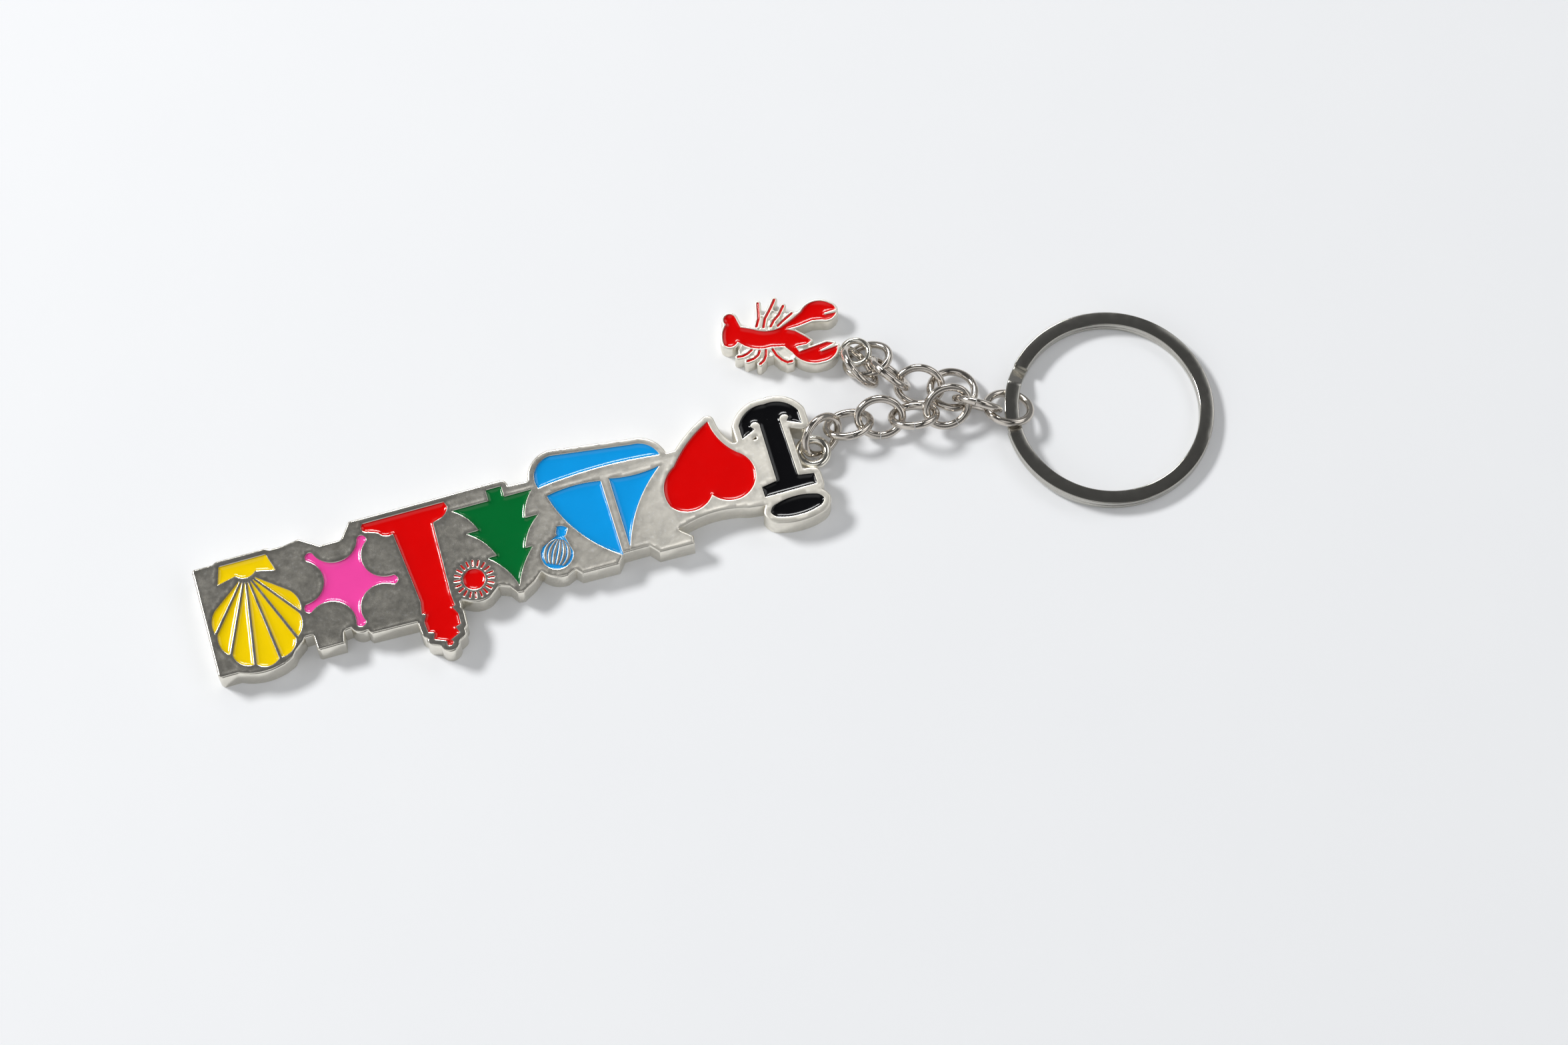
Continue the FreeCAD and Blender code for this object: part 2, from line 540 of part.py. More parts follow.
def cast_charm(label, blocks, pockets):
    """Fuse the blocks of a casting and sink the enamel pockets into it."""
    fused = doc.addObject("Part::MultiFuse", label + "_blank")
    fused.Shapes = blocks
    fused.Refine = True
    sunk = doc.addObject("Part::MultiFuse", label + "_pockets")
    sunk.Shapes = pockets
    casting = doc.addObject("Part::Cut", label)
    casting.Base = fused
    casting.Tool = sunk
    casting.Label = label
    return casting


ENAMEL_LENGTH = "sizes.pocket_depth - sizes.enamel_recess"


def enamel_fill(label, sketch, thickness):
    """Enamel in a pocket, a little lower than the metal around it."""
    fill = extrusion(label, sketch, ENAMEL_LENGTH, thickness + " - sizes.pocket_depth")
    fill.Label = label
    return fill


def build_plate():
    balloon, gores = balloon_outlines()
    motifs = {
        "enamel_anchor": [ANCHOR],
        "enamel_oval": [oval(OVAL_CENTRE, OVAL_HALF_LENGTH, OVAL_HALF_WIDTH)],
        "enamel_heart": [HEART],
        "enamel_sails": [JIB, MAINSAIL],
        "enamel_hull": [HULL],
        "enamel_balloon": [balloon] + gores,
        "enamel_fir_tree": [FIR_TREE],
        "enamel_sun": [oval(SUN_CENTRE, SUN_RADIUS, SUN_RADIUS)] + sun_rays(),
        "enamel_lighthouse": [TOWER],
        "enamel_starfish": [starfish()],
        "enamel_shell": shell_segments(),
    }
    thickness = "sizes.plate_thickness"
    fills, pockets = [], []
    for label, outlines in motifs.items():
        sketch = outline_sketch(label + "_outline", outlines)
        fills.append(enamel_fill(label, sketch, thickness))
        pockets.append(extrusion(label + "_pocket", sketch, "2 * sizes.pocket_depth",
                                 thickness + " - sizes.pocket_depth"))
    rimmed = {"sheet": [SHEET]}
    for label in ("enamel_anchor", "enamel_oval", "enamel_heart", "enamel_hull",
                  "enamel_fir_tree", "enamel_lighthouse", "enamel_starfish"):
        rimmed[label] = motifs[label]
    rimmed["shell"] = [shell_outline()]
    blocks = []
    for label, outlines in rimmed.items():
        sketch = outline_sketch(label + "_edge", outlines)
        if label != "sheet":
            sketch = widened(label + "_rim", sketch, "sizes.plate_rim")
        blocks.append(extrusion(label + "_block", sketch, thickness, RESTING))
    blocks.append(eye("plate_eye", PLATE_EYE_CENTRE, "plate"))
    return [cast_charm("charm_plate", blocks, pockets)] + fills


def build_lobster():
    thickness = "sizes.lobster_thickness"
    body = outline_sketch("lobster_outline", [LOBSTER])
    legs = outline_sketch("leg_outlines", [stroke(leg, size("leg_half_width")) for leg in LEGS])
    fills = [enamel_fill("enamel_lobster", body, thickness),
             enamel_fill("enamel_lobster_legs", legs, thickness)]
    pockets = [extrusion("lobster_pocket", body, "2 * sizes.pocket_depth",
                         thickness + " - sizes.pocket_depth"),
               extrusion("leg_pockets", legs, "2 * sizes.pocket_depth",
                         thickness + " - sizes.pocket_depth")]
    blocks = [extrusion("lobster_block", widened("lobster_edge", body, "sizes.lobster_rim"),
                        thickness, RESTING)]
    for index, leg in enumerate(LEGS, start=1):
        wide = outline_sketch(f"leg_{index}_edge", [stroke(leg, size("leg_half_width") + size("leg_rim"))])
        blocks.append(extrusion(f"leg_{index}_block", wide, thickness, RESTING))
    for index, web in enumerate(WEBS, start=1):
        sketch = outline_sketch(f"web_{index}_edge", [web])
        blocks.append(extrusion(f"web_{index}_block", sketch, thickness, RESTING))
    blocks.append(eye("lobster_eye", LOBSTER_EYE_CENTRE, "lobster"))
    run = Vector(*LOBSTER_NECK_END, 0) - Vector(*LOBSTER_EYE_CENTRE, 0)
    start = Vector(*LOBSTER_EYE_CENTRE, 0) + run * (size("lobster_eye_radius") / run.Length)
    neck = doc.addObject("Part::Cylinder", "lobster_neck")
    neck.setExpression("Radius", "sizes.lobster_eye_tube")
    neck.Height = (Vector(*LOBSTER_NECK_END, 0) - start).Length
    neck.Placement = Placement(start, Rotation(Z_AXIS, run))
    neck.setExpression("Placement.Base.z", "sizes.lobster_eye_height")
    blocks.append(neck)
    return [cast_charm("lobster_charm", blocks, pockets)] + fills


# ------------------------------------------------------------------ assemble and write
nodes = [build_key_ring()]
nodes += [build_round_link(name, pose) for name, pose in ROUND_LINKS.items()]
nodes += [build_oval_link(name, pose) for name, pose in OVAL_LINKS.items()]
nodes += build_plate()
nodes += build_lobster()
doc.recompute()

for thing in doc.Objects:
    if "Invalid" in thing.State or "Error" in thing.State:
        raise RuntimeError(f"{thing.Label}: {thing.State}")
for node in nodes:
    if node.Shape.isNull() or not node.Shape.isValid() or not node.Shape.Solids:
        raise RuntimeError(f"{node.Label}: bad shape")

os.makedirs("parts", exist_ok=True)
for node in nodes:
    node.Shape.exportStep(f"parts/{node.Label}.step")
    print(f"{node.Label}: {len(node.Shape.Solids)} solid(s), {node.Shape.Volume:.1f} mm3")
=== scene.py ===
"""Looks of the souvenir keychain: nickel-plated casting with soft enamel motifs, a small
enamelled lobster charm, steel links and a split key ring. Lengths are in metres in the
scene and in millimetres inside the relief helpers."""
import json
import math

import bmesh
import bpy
import numpy as np
from mathutils import Matrix, Vector, noise
from mathutils.bvhtree import BVHTree
from mathutils.geometry import delaunay_2d_cdt


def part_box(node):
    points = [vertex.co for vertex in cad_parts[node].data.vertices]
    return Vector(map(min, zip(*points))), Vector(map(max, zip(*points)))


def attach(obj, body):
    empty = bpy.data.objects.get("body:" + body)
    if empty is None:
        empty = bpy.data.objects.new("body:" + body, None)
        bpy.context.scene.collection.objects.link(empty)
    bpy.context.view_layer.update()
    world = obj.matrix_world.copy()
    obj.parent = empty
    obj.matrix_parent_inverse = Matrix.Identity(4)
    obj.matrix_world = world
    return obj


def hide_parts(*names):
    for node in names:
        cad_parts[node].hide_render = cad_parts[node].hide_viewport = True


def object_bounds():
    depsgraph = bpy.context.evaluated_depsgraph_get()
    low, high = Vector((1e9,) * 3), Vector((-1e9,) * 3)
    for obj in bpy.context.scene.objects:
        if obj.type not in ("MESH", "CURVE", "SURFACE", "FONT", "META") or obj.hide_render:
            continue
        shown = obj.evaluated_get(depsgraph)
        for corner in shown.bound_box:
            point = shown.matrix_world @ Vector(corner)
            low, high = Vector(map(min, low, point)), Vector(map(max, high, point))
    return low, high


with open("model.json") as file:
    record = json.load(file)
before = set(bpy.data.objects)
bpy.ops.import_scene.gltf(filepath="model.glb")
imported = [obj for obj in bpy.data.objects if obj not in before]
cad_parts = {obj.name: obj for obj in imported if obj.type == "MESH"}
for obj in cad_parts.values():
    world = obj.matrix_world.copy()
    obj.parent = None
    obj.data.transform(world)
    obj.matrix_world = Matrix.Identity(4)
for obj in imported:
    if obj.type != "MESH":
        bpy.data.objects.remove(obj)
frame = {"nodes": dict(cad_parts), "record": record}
CAD_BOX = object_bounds()
NODES = frame["nodes"]
MM = 0.001

# Relief meshes. Lengths are in mm.
FLAT_TOLERANCE = 0.004   # how far a flat face may lie from its height
OUTLINE_STEP = 0.22      # longest edge along an outline
POINT_GAP = 0.045        # least distance between the points added inside a region
ROW_SHARE = 0.9          # share of its gap that a row keeps from every outline
FIELD_SHARE = 0.35       # share of the grid's spacing kept beyond the outermost row
ROW_HEIGHT = 0.866       # height of a row in a grid of equal triangles
MERGE_DISTANCE = 1e-5    # points closer than this are merged when triangulating
LEAST_AREA = 1e-9        # smaller triangles are left out
SMOOTH_ANGLE = 38        # degrees above which an edge is a crease


# ------------------------------------------------------------------- outlines from CAD
def flat_loops(node, level, facing):
    """Closed outlines, in mm, of a node's flat faces at a height that face up (1) or down
    (-1). Seen from above, the metal or enamel is always on the left of an outline."""
    mesh = NODES[node].data
    mesh.calc_loop_triangles()
    edges = {}
    for triangle in mesh.loop_triangles:
        corners = [mesh.vertices[index].co / MM for index in triangle.vertices]
        if max(abs(corner.z - level) for corner in corners) > FLAT_TOLERANCE:
            continue
        flat = [(round(corner.x, 4), round(corner.y, 4)) for corner in corners]
        (ax, ay), (bx, by), (cx, cy) = flat
        area = (bx - ax) * (cy - ay) - (cx - ax) * (by - ay)
        if area * facing <= 0:
            continue
        if facing < 0:
            flat.reverse()
        for start, end in zip(flat, flat[1:] + flat[:1]):
            if (end, start) in edges:
                del edges[(end, start)]
            else:
                edges[(start, end)] = True
    following = {}
    for start, end in edges:
        following.setdefault(start, []).append(end)
    loops = []
    while following:
        first = next(iter(following))
        loop, here = [], first
        while True:
            loop.append(here)
            after = following[here].pop()
            if not following[here]:
                del following[here]
            here = after
            if here == first:
                break
        loops.append(np.array(loop))
    return loops


def dense(loop, step):
    """The same outline with its points no further apart than a step."""
    points = []
    for start, end in zip(loop, np.roll(loop, -1, axis=0)):
        count = max(1, math.ceil(math.dist(start, end) / step))
        points += [start + (end - start) * part / count for part in range(count)]
    return np.array(points)


def wall_tree(loops):
    """Upright strips along outlines, for measuring how far a point is from them."""
    corners, faces = [], []
    for loop in loops:
        base, count = len(corners), len(loop)
        for x, y in loop:
            corners += [(x, y, -1), (x, y, 1)]
        for index in range(count):
            after = (index + 1) % count
            faces.append((base + 2 * index, base + 2 * after, base + 2 * after + 1,
                          base + 2 * index + 1))
    return BVHTree.FromPolygons(corners, faces)


def distances(points, tree):
    """How far points are from the outlines of a tree."""
    return np.array([tree.find_nearest((x, y, 0))[3] for x, y in points])


def inside(points, loops):
    """Which points lie inside outlines, counting crossings."""
    found = np.zeros(len(points), bool)
    px, py = points[:, 0], points[:, 1]
    for loop in loops:
        for (ax, ay), (bx, by) in zip(loop, np.roll(loop, -1, axis=0)):
            spans = (ay > py) != (by > py)
            if spans.any():
                at = ax + (py - ay) * (bx - ax) / (by - ay if by != ay else 1)
                found ^= spans & (px < at)
    return found


def beside(loop, gap):
    """Points beside an outline: a positive gap is to its left."""
    along = np.roll(loop, -1, axis=0) - np.roll(loop, 1, axis=0)
    along /= np.maximum(np.linalg.norm(along, axis=1), 1e-9)[:, None]
    return loop + gap * np.stack([-along[:, 1], along[:, 0]], axis=1)


def thinned(points, least):
    """Points no closer together than a distance, first come first kept."""
    kept, cells = [], {}
    for x, y in points:
        cell = (math.floor(x / least), math.floor(y / least))
        near = [cells[key] for key in ((cell[0] + i, cell[1] + j) for i in (-1, 0, 1)
                                       for j in (-1, 0, 1)) if key in cells]
        if all(math.dist((x, y), other) >= least for other in near):
            cells[cell] = (x, y)
            kept.append((x, y))
    return np.array(kept).reshape(-1, 2)


def grid(loops, spacing):
    """Triangular grid of points over the box around outlines."""
    points = np.concatenate(loops)
    (x0, y0), (x1, y1) = points.min(axis=0), points.max(axis=0)
    rows = np.arange(y0, y1, spacing * ROW_HEIGHT)
    return np.array([(x + (row % 2) * spacing / 2, y) for row, y in enumerate(rows)
                     for x in np.arange(x0, x1, spacing)])


def mesh_area(region, lines, rows, spacing):
    """Triangulate a region. Lines are outlines kept as edges (the region's own among
    them), rows the gaps at which extra points run beside them. Returns points, triangles
    and, for each outline of the region, its points' numbers."""
    fixed = [dense(line, OUTLINE_STEP) for line in region + lines]
    tree = wall_tree(region + lines)
    extra = []
    for gap in rows:
        for line in fixed:
            row = beside(line, gap)
            extra.append(row[distances(row, tree) > abs(gap) * ROW_SHARE])
    reach = max(abs(gap) for gap in rows)
    field = grid(region, spacing)
    extra.append(field[distances(field, tree) > reach + FIELD_SHARE * spacing])
    extra = thinned(np.concatenate(extra), POINT_GAP)
    extra = extra[inside(extra, region)]
    points, edges, starts = [], [], []
    for line in fixed:
        base, count = len(points), len(line)
        starts.append((base, count))
        points += [Vector(point) for point in line]
        edges += [(base + index, base + (index + 1) % count) for index in range(count)]
    points += [Vector(point) for point in extra]
    made = delaunay_2d_cdt(points, edges, [], 0, MERGE_DISTANCE)
    flat = np.array([(point.x, point.y) for point in made[0]])
    new_number = {}
    for number, originals in enumerate(made[3]):
        for original in originals:
            new_number[original] = number
    centres = np.array([flat[list(face)].mean(axis=0) for face in made[2]])
    chosen = inside(centres, region)
    triangles = []
    for keep, face in zip(chosen, made[2]):
        (ax, ay), (bx, by), (cx, cy) = flat[list(face)]
        area = (bx - ax) * (cy - ay) - (cx - ax) * (by - ay)
        if keep and abs(area) > LEAST_AREA:
            triangles.append(tuple(face) if area > 0 else tuple(reversed(face)))
    outlines = []
    for base, count in starts[:len(region)]:
        outline = [new_number[base + index] for index in range(count)]
        outlines.append([number for index, number in enumerate(outline)
                         if number != outline[index - 1]])
    return flat, triangles, outlines


def solid(name, top, upper, bottom, lower):
    """Closed mesh from a top sheet and a bottom sheet that share outlines. Each sheet is
    (points, triangles, outlines) with its heights in mm."""
    (flat_top, faces_top, loops_top), (flat_bottom, faces_bottom, loops_bottom) = top, bottom
    corners = [(x * MM, y * MM, z * MM) for (x, y), z in zip(flat_top, upper)]
    shift = len(corners)
    corners += [(x * MM, y * MM, z * MM) for (x, y), z in zip(flat_bottom, lower)]
    faces = list(faces_top)
    faces += [tuple(shift + number for number in reversed(face)) for face in faces_bottom]
    for loop_top, loop_bottom in zip(loops_top, loops_bottom):
        count = len(loop_top)
        for index in range(count):
            after = (index + 1) % count
            faces.append((loop_top[index], shift + loop_bottom[index],
                          shift + loop_bottom[after], loop_top[after]))
    mesh = bpy.data.meshes.new(name)
    mesh.from_pydata(corners, [], faces)
    return finished(name, mesh)


def finished(name, mesh, sharp=SMOOTH_ANGLE):
    """Object from a mesh: loose points dropped, smooth shading with sharp creases."""
    work = bmesh.new()
    work.from_mesh(mesh)
    bmesh.ops.delete(work, geom=[v for v in work.verts if not v.link_faces], context="VERTS")
    bmesh.ops.recalc_face_normals(work, faces=work.faces)
    work.to_mesh(mesh)
    work.free()
    mesh.shade_smooth()
    mesh.set_sharp_from_angle(angle=math.radians(sharp))
    thing = bpy.data.objects.new(name, mesh)
    bpy.context.scene.collection.objects.link(thing)
    return thing


def smoothstep(low, high, value):
    """Smooth step from 0 at the low value to 1 at the high one."""
    part = np.clip((value - low) / (high - low), 0, 1)
    return part * part * (3 - 2 * part)


def wave(points, scale, seed):
    """Smooth noise over points, about -1 to 1, with bumps of a given size in mm."""
    return np.array([noise.noise((x / scale, y / scale, seed)) for x, y in points])


def paint(thing, layer, values):
    """Store one number per point for the material to read."""
    attribute = thing.data.attributes.new(layer, "FLOAT", "POINT")
    attribute.data.foreach_set("value", np.asarray(values, np.float32))


# --------------------------------------------------------------------------- materials
DULL = (0.5, 0.49, 0.45)          # mottled patches of a tumbled casting
FAR_END_SHADE = (0.54, 0.515, 0.45)   # painted shade: colour of the field towards the plate's far end
SPECK = (0.9, 0.89, 0.87)         # bright grains in the mottling
FAR_END_SHADE_SPAN = (0.062, 0.105)     # metres along the plate over which the painted shade darkens it
POLISH_SPAN = (0.055, 0.105)      # metres along the plate over which it gets smoother


class Nodes:
    """Short-hand for building a node material."""

    def __init__(self, name):
        self.material = bpy.data.materials.new(name)
        self.material.use_nodes = True
        self.tree = self.material.node_tree
        self.shader = self.tree.nodes["Principled BSDF"]

    def add(self, kind, inputs=None, **settings):
        node = self.tree.nodes.new(kind)
        for key, value in settings.items():
            setattr(node, key, value)
        for key, value in (inputs or {}).items():
            if isinstance(value, bpy.types.NodeSocket):
                self.tree.links.new(value, node.inputs[key])
            else:
                node.inputs[key].default_value = value
        return node

    def set(self, **inputs):
        for key, value in inputs.items():
            socket = self.shader.inputs[key.replace("_", " ")]
            if isinstance(value, bpy.types.NodeSocket):
                self.tree.links.new(value, socket)
            else:
                socket.default_value = value

    def place(self):
        return self.add("ShaderNodeTexCoord").outputs["Object"]

    def noise(self, scale, detail=3.0, rough=0.5, stretch=None):
        where = self.place()
        if stretch:
            where = self.add("ShaderNodeMapping",
                             {"Vector": where, "Scale": stretch}).outputs[0]
        return self.add("ShaderNodeTexNoise", {"Vector": where, "Scale": scale,
                                               "Detail": detail,
                                               "Roughness": rough}).outputs["Fac"]

    def span(self, value, low, high, out_low, out_high):
        return self.add("ShaderNodeMapRange", {"Value": value,
                                               "From Min": low, "From Max": high,
                                               "To Min": out_low,
                                               "To Max": out_high}).outputs[0]

    def mix(self, factor, one, other):
        node = self.add("ShaderNodeMix", {"Factor": factor}, data_type="RGBA")
        for socket, value in zip([node.inputs[6], node.inputs[7]], [one, other]):
            if isinstance(value, bpy.types.NodeSocket):
                self.tree.links.new(value, socket)
            else:
                socket.default_value = (*value, 1)
        return node.outputs[2]

    def math(self, operation, one, other):
        return self.add("ShaderNodeMath", {0: one, 1: other}, operation=operation).outputs[0]

    def bump(self, height, distance, strength, under=None):
        inputs = {"Height": height, "Distance": distance, "Strength": strength}
        if under:
            inputs["Normal"] = under
        return self.add("ShaderNodeBump", inputs).outputs[0]


def nickel(name, colour, rough, swell, pitted, wavy=False):
    """Plated metal: slow swells in the reflections and fine scratches. A pitted one has the
    dull mottling of a tumbled casting where the field layer marks it, and painted shade that
    darkens it towards the plate's far end. A wavy one also has the long waves of a wound
    strip."""
    nodes = Nodes(name)
    patches = nodes.noise(900, 4, 0.6)
    scratches = nodes.noise(1600, 2, 0.6, stretch=(1, 14, 3))
    tint = nodes.mix(nodes.span(patches, 0.35, 0.7, 0, 1), colour,
                     tuple(c * 0.9 for c in colour))
    roughness = nodes.span(patches, 0.3, 0.75, rough, rough + 0.07)
    normal = nodes.bump(nodes.noise(420, 2, 0.4), swell, 0.35)
    normal = nodes.bump(scratches, 0.00001 if pitted else 0.000003, 0.25, normal)
    if wavy:
        normal = nodes.bump(nodes.noise(75, 0, 0.5), 0.0018, 0.5, normal)
    if pitted:
        layer = nodes.add("ShaderNodeAttribute", attribute_name="field").outputs["Fac"]
        specks = nodes.span(nodes.noise(2600, 3, 0.7), 0.56, 0.7, 0, 1)
        clouds = nodes.span(nodes.noise(330, 5, 0.65), 0.35, 0.68, 0, 1)
        marked = nodes.math("MULTIPLY", specks, layer)
        dull = nodes.math("MULTIPLY", clouds, layer)
        tint = nodes.mix(nodes.math("MULTIPLY", dull, 0.5), tint, DULL)
        # Painted shade: the field's colour darkens towards the plate's far end.
        along = nodes.add("ShaderNodeSeparateXYZ", {0: nodes.place()}).outputs[0]
        far_end_shade = nodes.math("MULTIPLY", nodes.span(along, *FAR_END_SHADE_SPAN, 0, 0.6), layer)
        tint = nodes.mix(far_end_shade, tint, FAR_END_SHADE)
        roughness = nodes.math("ADD", roughness, nodes.span(along, *POLISH_SPAN, 0.2, 0))
        tint = nodes.mix(nodes.math("MULTIPLY", marked, 0.5), tint, SPECK)
        roughness = nodes.math("ADD", roughness, nodes.math("MULTIPLY", layer, 0.07))
        normal = nodes.bump(nodes.noise(1500, 4, 0.6), 0.00002,
                            nodes.math("MULTIPLY", layer, 0.35), normal)
    nodes.set(Base_Color=tint, Metallic=1.0, Roughness=roughness, Normal=normal)
    return nodes.material


def enamel(name, colour):
    """Soft enamel: glossy, with painted shade darkening it along its edges, orange peel and
    dust.
    """
    nodes = Nodes(name)
    layer = nodes.add("ShaderNodeAttribute", attribute_name="edge").outputs["Fac"]
    cloud = nodes.span(nodes.noise(260, 3, 0.5), 0.3, 0.7, 0.0, 0.35)
    # Painted shade: a darker copy of the colour, laid along the pocket walls by the edge
    # layer.
    edge_shade_colour = tuple(c * 0.72 for c in colour)
    tint = nodes.mix(cloud, colour, tuple(c * 0.88 for c in colour))
    tint = nodes.mix(nodes.math("MULTIPLY", layer, 0.6), tint, edge_shade_colour)
    dust = nodes.span(nodes.noise(5200, 2, 0.7), 0.72, 0.76, 0, 0.25)
    tint = nodes.mix(dust, tint, tuple(min(1, c + 0.15) for c in colour))
    normal = nodes.bump(nodes.noise(520, 2, 0.45), 0.00005, 0.3)
    roughness = nodes.span(nodes.noise(700, 3, 0.5), 0.3, 0.7, 0.07, 0.16)
    nodes.set(Base_Color=tint, Roughness=roughness, Normal=normal, Coat_Weight=0.1,
              Coat_Roughness=0.03, Specular_IOR_Level=0.32)
    return nodes.material


NICKEL = (0.86, 0.825, 0.74)
CASTING = nickel("nickel_casting", NICKEL, 0.15, 0.0001, True)
CASTING_EYE = nickel("nickel_casting_eye", NICKEL, 0.10, 0.0001, False)
WIRE = nickel("nickel_wire", (0.62, 0.575, 0.52), 0.09, 0.00002, False)
STRIP = nickel("ring_strip", (0.52, 0.505, 0.465), 0.12, 0.00004, False, wavy=True)
ENAMELS = {
    "black_enamel": (0.003, 0.003, 0.004),
    "red_enamel": (0.80, 0.0, 0.0),
    "blue_enamel": (0.004, 0.36, 0.88),
    "green_enamel": (0.0, 0.16, 0.03),
    "pink_enamel": (1.0, 0.075, 0.42),
    "yellow_enamel": (1.0, 0.70, 0.0),
}
ENAMEL_MATERIALS = {slot: enamel(slot, colour) for slot, colour in ENAMELS.items()}
SLOT_OF = {entry["node"]: entry["material_slot"] for entry in frame["record"]["subparts"]}


def dress(thing, material, body, slot, *replaced):
    """Give a piece its material and body, and let it stand for CAD nodes. The slot is not
    used.
    """
    thing.data.materials.clear()
    thing.data.materials.append(material)
    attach(thing, body)
    if replaced:
        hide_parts(*replaced)


# ------------------------------------------------------------------------ enamel fills
POCKET = 0.5             # mm, depth of the pockets
FILL_FOOT = 0.03         # mm, how far a fill reaches under its pocket's floor
FILL_ROWS = [0.05, 0.12, 0.2, 0.3, 0.42, 0.58, 0.8]
FILL_SPACING = 0.5
FILL_CLIMB, FILL_FADE = 0.28, 0.42   # mm, rise at the edge and how fast it dies away
FILL_SWELL = 0.012       # mm, slow swells of the face
EDGE_SHADE_FADE = 0.35         # mm, width of the painted shade along the edge


def build_enamel(node, body, look):
    """Enamel of one motif: sunk below the metal and drawn up at its edges."""
    loops = flat_loops(node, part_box(node)[1].z / MM, 1)
    sheet = mesh_area(loops, [], FILL_ROWS, FILL_SPACING)
    away = distances(sheet[0], wall_tree(loops))
    upper = (look["top"] - look["depth"] + FILL_CLIMB * np.exp(-away / FILL_FADE)
             + FILL_SWELL * wave(sheet[0], 2.2, 5.0))
    lower = np.full(len(sheet[0]), look["top"] - POCKET - FILL_FOOT)
    piece = solid(node + "_fill", sheet, upper, sheet, lower)
    # Nearness to the wall, which places the painted shade along the edge.
    paint(piece, "edge", np.tile(np.exp(-away / EDGE_SHADE_FADE), 2)[:len(piece.data.vertices)])
    slot = SLOT_OF[node]
    dress(piece, ENAMEL_MATERIALS[slot], body, slot, node)
    return loops


# ------------------------------------------------------------------------- cast charms
LIP_FLAT = 0.55          # share of a lip's width that keeps its full height
BORDER = (1.2, 2.0)      # border's inner and outer reach, in widths of the rounded edge
BEVEL_DROP = 0.14        # share of a bevel's width by which a pocket's rim falls
RIM = 0.02               # mm, points nearer than this to a pocket's outline stay up
BACK_ROWS, BACK_SPACING = [0.3, 0.6], 0.6
BACK_EDGE = (0.55, 0.9)  # mm from the edge over which the back rises
BACK_RISE = 0.12         # mm
PEBBLE = 0.35            # share of the back's rise that varies


def build_casting(node, enamels, look):
    """Casting under the enamel: lips around the pockets, a lower mottled field, a rounded
    edge and a textured back."""
    top = look["top"]
    silhouette = flat_loops(node, 0.0, -1)
    pockets = [loop for loops in enamels for loop in loops]
    sheet = mesh_area(silhouette, pockets, sorted(look["rows"]), look["spacing"])
    flat = sheet[0]
    in_pocket = inside(flat, pockets)
    to_pocket = distances(flat, wall_tree(pockets))
    to_edge = distances(flat, wall_tree(silhouette))
    lip = 1 - smoothstep(look["lip"] * LIP_FLAT, look["lip"], to_pocket)
    border = 1 - smoothstep(look["edge"] * BORDER[0], look["edge"] * BORDER[1], to_edge)
    field = 1 - np.maximum(lip, border)
    upper = top - look["sink"] * field + look["swell"] * field * wave(flat, 1.6, 1.0)
    reach = np.clip(to_edge, 0, look["edge"])
    upper -= look["edge"] - np.sqrt(look["edge"] ** 2 - (look["edge"] - reach) ** 2)
    bevel = 1 - np.clip(to_pocket / look["bevel"], 0, 1)
    upper -= look["bevel"] * BEVEL_DROP * bevel * bevel
    upper[in_pocket & (to_pocket > RIM)] = top - POCKET
    back = mesh_area(silhouette, [], BACK_ROWS, BACK_SPACING)
    from_edge = distances(back[0], wall_tree(silhouette))
    pebble = wave(back[0], 0.9, 9.0)
    lower = BACK_RISE * smoothstep(*BACK_EDGE, from_edge) * (1 + PEBBLE * pebble)
    piece = solid(node + "_casting", sheet, upper, back, lower)
    paint(piece, "field", np.concatenate([field, np.full(len(back[0]), 1.0)])
          [:len(piece.data.vertices)])
    dress(piece, CASTING, node, SLOT_OF[node], node)


LOOP_CREASE, BAR_CREASE = 80, 60   # degrees


def torus(name, centre, radius, tube):
    """Cast loop lying flat, centre and radii in mm."""
    around, across = 96, 32
    corners, faces = [], []
    for i in range(around):
        a = 2 * math.pi * i / around
        for j in range(across):
            b = 2 * math.pi * j / across
            reach = radius + tube * math.cos(b)
            corners.append(((centre[0] + reach * math.cos(a)) * MM,
                            (centre[1] + reach * math.sin(a)) * MM,
                            (centre[2] + tube * math.sin(b)) * MM))
            faces.append((i * across + j, (i + 1) % around * across + j,
                          (i + 1) % around * across + (j + 1) % across,
                          i * across + (j + 1) % across))
    mesh = bpy.data.meshes.new(name)
    mesh.from_pydata(corners, [], faces)
    return finished(name, mesh, LOOP_CREASE)


def bar(name, start, end, radius, end_radius):
    """Short round bar between two points in mm, swelling towards its end."""
    start, end = Vector(start), Vector(end)
    turn = (end - start).to_track_quat("Z", "Y")
    rings, across = 8, 24
    corners, faces = [], []
    for i in range(rings + 1):
        part = i / rings
        reach = radius + (end_radius - radius) * part * part
        for j in range(across):
            b = 2 * math.pi * j / across
            spot = start.lerp(end, part) + turn @ Vector((reach * math.cos(b),
                                                          reach * math.sin(b), 0))
            corners.append(spot * MM)
    for i in range(rings):
        for j in range(across):
            after = (j + 1) % across
            faces.append((i * across + j, i * across + after, (i + 1) * across + after,
                          (i + 1) * across + j))
    faces.append(tuple(reversed(range(across))))
    faces.append(tuple(range(rings * across, (rings + 1) * across)))
    mesh = bpy.data.meshes.new(name)
    mesh.from_pydata(corners, [], faces)
    return finished(name, mesh, BAR_CREASE)


